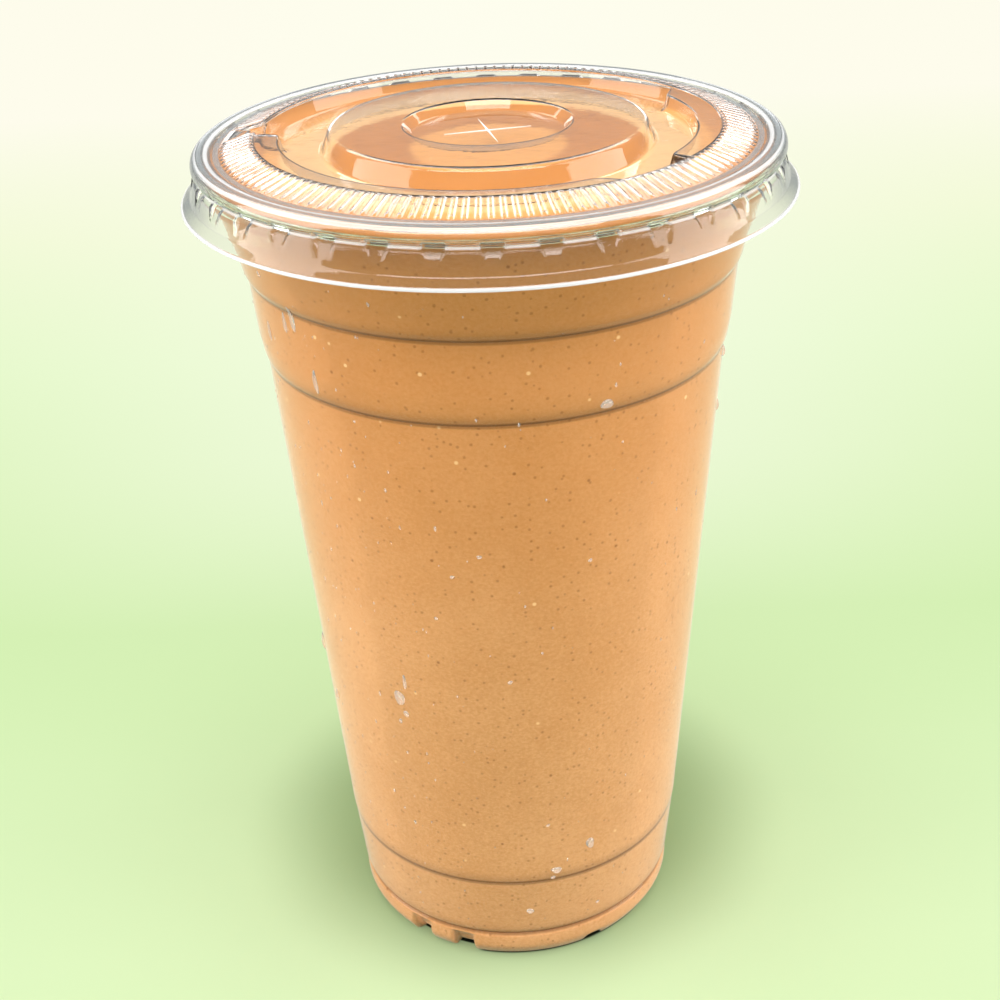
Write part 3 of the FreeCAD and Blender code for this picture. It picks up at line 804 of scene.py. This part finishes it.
def waterDrops():
    # each drop is a low dome: rise = 0.3 * width * (1 - distance squared) ^ 0.8, its outline a circle with
    # two slow waves, laid on the cup's wall at its azimuth and height
    v = dropValues
    rings, spokes = v["rings"], v["spokes"]
    lowest, highest = v["within"]
    roll = cupValues["height"] - 2 * cupValues["rollRadius"]
    wall = cupOuter[(cupOuter[:, 1] > lowest - 1.0) & (cupOuter[:, 1] < roll)]
    drops = dropTable()
    count = len(drops)
    width, length = drops[:, 2:3], drops[:, 3:4]
    ring = np.repeat(np.sin(np.linspace(0, math.pi / 2, rings + 1)[1:]), spokes)[None, :]
    spoke = np.tile(np.arange(spokes) * 2 * math.pi / spokes, rings)[None, :]
    shift = rng.uniform(0, 2 * math.pi, (count, 2))
    oval, lobed = v["waves"]
    outline = 1 + oval * np.cos(2 * spoke + shift[:, :1]) + lobed * np.cos(3 * spoke + shift[:, 1:])
    across = np.column_stack([np.zeros(count), ring * outline * np.cos(spoke) * width / 2])
    upward = np.column_stack([np.zeros(count), ring * outline * np.sin(spoke) * length / 2])
    side = np.repeat(np.maximum(1 - ring ** 2, 0) ** v["power"], count, 0)
    dome = np.column_stack([np.ones(count), side])
    upward = upward - v["sag"] * length * dome  # the water sags to the lower side
    height = np.clip(drops[:, 1:2] + upward, lowest, highest)
    rise = v["rise"] * np.minimum(width, v["widestRise"]) * dome
    radius = np.interp(height, wall[:, 1], wall[:, 0]) - v["sunk"] + rise
    azimuth = np.radians(drops[:, :1]) + across / radius
    points = np.stack([radius * np.sin(azimuth), -radius * np.cos(azimuth), height], 2).reshape(-1, 3)
    return points * mm, dropFaces(count, rings, spokes)


def dropFaces(count, rings, spokes):  # a fan round each top, quads between the rings and one face as base
    column = np.arange(spokes)
    ahead = np.roll(column, -1)
    inner = 1 + np.arange(rings - 1)[:, None] * spokes
    outer = inner + spokes
    fan = np.stack([0 * column, 1 + column, 1 + ahead], 1)
    quads = np.stack([inner + column, outer + column, outer + ahead, inner + ahead], 2).reshape(-1, 4)
    base = 1 + (rings - 1) * spokes + column[::-1][None, :]
    starts = np.arange(count)[:, None, None] * (1 + rings * spokes)
    faces = []
    for kind in (fan, quads, base):
        faces.extend((kind[None] + starts).reshape(-1, kind.shape[1]).tolist())
    return faces


def waterPaint():  # mostly clear, with a warm film
    v = dropValues
    material, bench = newBench("waterPaint")
    film = bench.mix(bench.noise(bench.place(), v["mottle"]), v["film"], v["bright"])
    water = bench.principled({
        "Base Color": film, "Roughness": v["roughness"], "IOR": v["bending"],
        "Transmission Weight": v["clearness"]})
    bench.finishClear(water, v["shadow"])
    return material


dropsOnCup = meshObject("dropsOnCup", *waterDrops())
givePaint(dropsOnCup, waterPaint())
print("drops made", len(dropsOnCup.data.polygons))


floorValues = {
    # metres: half the floor's side, and where the first and the last of the stops lie behind the middle
    "half": 4.0, "near": -0.10, "far": 0.62,
    "stops": ((0.0, srgb(224, 249, 192)), (0.10, srgb(226, 249, 195)), (0.19, srgb(220, 245, 188)),
              (0.27, srgb(211, 240, 176)), (0.36, srgb(218, 243, 185)), (0.52, srgb(230, 249, 203)),
              (0.72, srgb(243, 250, 217)), (1.0, srgb(254, 252, 236))),
    # the colour that bounces light up, the matt floor's dimming, how much of the tone mirrors show, and the
    # share of the tone that is its own light, near the cup and far from it, with where that grows in metres
    "underfoot": srgb(225, 226, 218), "dimming": 0.6, "mirrored": 0.45, "ownLight": (0.25, 1.0),
    "ownFrom": (0.035, 0.17),
    # metres: a painted pool of light behind the cup, its painted soft shadow, and a painted dark shadow round
    # and under its foot
    "glow": srgb(254, 255, 240), "lightPoolAcross": (0.24, 0.02), "lightPoolBack": (0.04, 0.2), "lightPoolShare": 0.45,
    "shadow": srgb(120, 150, 85), "paintedShadowPlace": (0, 0.016, 0), "paintedShadowFrom": (0.062, 0.03),
    "paintedShadowShare": 0.6,
    "contactShadow": srgb(34, 38, 28), "lineFrom": (0.0299, 0.0292), "lineAcross": (-0.0085, -0.007),
    "footShadeFrom": (0.0283, 0.0279),
}


def floorTone(bench, place, across, back, away):  # the colour of the floor as the camera sees it, with a painted pool of light, a painted shadow and a painted dark ring and disc at the foot
    v = floorValues
    along = (back - v["near"]) / (v["far"] - v["near"])
    tone = bench.add("ShaderNodeValToRGB", {"stops": v["stops"]}, {0: along})
    # a painted pool of light behind the cup
    behind = bench.band(bench.size(across), *v["lightPoolAcross"]) * bench.band(back, *v["lightPoolBack"])
    tone = bench.mix(behind * v["lightPoolShare"], tone, v["glow"])
    # the cup's painted soft shadow
    paintedShadow = bench.band(bench.distance(place, v["paintedShadowPlace"]), *v["paintedShadowFrom"])
    tone = bench.mix(paintedShadow * v["paintedShadowShare"], tone, v["shadow"])
    # a painted dark shadow: a thin ring round the foot and a disc under it
    line = bench.band(away, *v["lineFrom"]) * bench.band(across, *v["lineAcross"])
    return bench.mix(bench.math("MAXIMUM", line, bench.band(away, *v["footShadeFrom"])), tone, v["contactShadow"])


def floorPaint():
    # far from the cup the camera sees the tone as light of its own, and near it mostly as a matt floor that
    # takes the lamps' light and the cup's shadow, over the shadow painted in the tone; rays through plastic
    # see the same, mirrored rays a part of it, and what bounces up off the floor has the underfoot colour
    v = floorValues
    material, bench = newBench("floorPaint")
    place = bench.place()
    across, back, _ = bench.axes(place)
    away = bench.distance(place)
    tone = floorTone(bench, place, across, back, away)
    cameraRay = bench.add("ShaderNodeLightPath")
    glossyRay, throughRay = bench.part(cameraRay, 3), bench.part(cameraRay, 6)
    seen = bench.math("MAXIMUM", cameraRay, bench.math("MAXIMUM", glossyRay * v["mirrored"], throughRay))
    least, most = v["ownLight"]
    share = bench.band(away, *v["ownFrom"]) * (most - least) + least
    dimmed = bench.add("ShaderNodeVectorMath", {"operation": "SCALE"}, {0: tone, "Scale": v["dimming"]})
    matt = bench.add("ShaderNodeBsdfDiffuse", {}, {"Color": bench.mix(seen, v["underfoot"], dimmed)})
    glow = bench.add("ShaderNodeEmission", {}, {"Color": tone, "Strength": 1.0})
    bench.finish(bench.blend(seen * share, matt, glow))
    return material


floorMesh = bpy.data.meshes.new("floor")
corners = np.array([(-1, -1, 0), (1, -1, 0), (1, 1, 0), (-1, 1, 0)]) * floorValues["half"]
floorMesh.from_pydata(corners, [], [(0, 1, 2, 3)])
floor = bpy.data.objects.new("floor", floorMesh)
bpy.context.scene.collection.objects.link(floor)
floorMesh.materials.append(floorPaint())
print("floor made")


worldValues = {  # grey that grows lighter upwards
    "low": (0.30, 0.31, 0.32, 1), "high": (0.5, 0.5, 0.5, 1), "from": (0.0, 0.7),
}

world = bpy.data.worlds.new("studio")
bpy.context.scene.world = world
world.use_nodes = True
bench = Bench(world.node_tree)
_, _, upward = bench.axes(bench.add("ShaderNodeTexCoord"))
tint = bench.mix(bench.band(upward, *worldValues["from"]), worldValues["low"], worldValues["high"])
tint = bench.mix(bench.add("ShaderNodeLightPath"), tint, floorValues["stops"][-1][1])  # pale for the camera
bench.add("ShaderNodeOutputWorld", {}, {
    "Surface": bench.add("ShaderNodeBackground", {}, {"Color": tint, "Strength": 1.0})})
print("world made")


lamps = {  # name: place, aim, width and height in metres, then watts
    "softKey": ((0.0, -0.5, 0.82), (0, 0, 0.1), 1.1, 0.26, 5.2),
    "softTop": ((0.0, -0.1, 0.95), (0, 0, 0.15), 0.5, 0.2, 1.6),
    "softLeft": ((-0.6, -0.08, 0.32), (0, 0, 0.1), 0.5, 0.8, 3.9),
    "softRight": ((0.6, -0.08, 0.32), (0, 0, 0.1), 0.5, 0.8, 3.9),
    "lowBackLeft": ((-0.21, 0.8, 0.24), (0, 0, 0.15), 0.14, 0.16, 0.14),
    "lowBackRight": ((0.21, 0.8, 0.24), (0, 0, 0.15), 0.14, 0.16, 0.14),
    "highBackLeft": ((-0.36, 0.6, 0.75), (0, 0, 0.15), 0.35, 0.35, 1.2),
    "highBackRight": ((0.36, 0.6, 0.75), (0, 0, 0.15), 0.35, 0.35, 1.2),
}
for name, (spot, aim, width, height, watts) in lamps.items():
    light = bpy.data.lights.new(name, "AREA")
    light.shape = "RECTANGLE"
    light.size = width
    light.size_y = height
    light.energy = watts
    lamp = bpy.data.objects.new(name, light)
    lamp.location = spot
    lamp.rotation_euler = (Vector(aim) - Vector(spot)).to_track_quat("-Z", "Y").to_euler()
    bpy.context.scene.collection.objects.link(lamp)
print("lamps made", len(lamps))


view = {  # metres; degrees down, to the right and anticlockwise; the lens in millimetres
    "place": (0.0, -0.2731, 0.2318), "down": 28.16, "turn": -0.10, "lean": -2.33, "lens": 59.08,
}
camera = bpy.data.objects.new("camera", bpy.data.cameras.new("camera"))
camera.data.lens = view["lens"]
camera.data.sensor_width = 36.0
camera.data.clip_start = 0.01
down, turn, lean = (math.radians(view[name]) for name in ("down", "turn", "lean"))
forward = Vector((math.sin(turn) * math.cos(down), math.cos(turn) * math.cos(down), -math.sin(down)))
level = forward.cross(Vector((0, 0, 1))).normalized()
upright = level.cross(forward)
right = level * math.cos(lean) + upright * math.sin(lean)
up = upright * math.cos(lean) - level * math.sin(lean)
camera.matrix_world = Matrix.Translation(view["place"]) @ Matrix((right, up, -forward)).transposed().to_4x4()
bpy.context.scene.collection.objects.link(camera)
bpy.context.scene.camera = camera
bpy.context.scene.view_settings.view_transform = "Standard"
print("camera made")
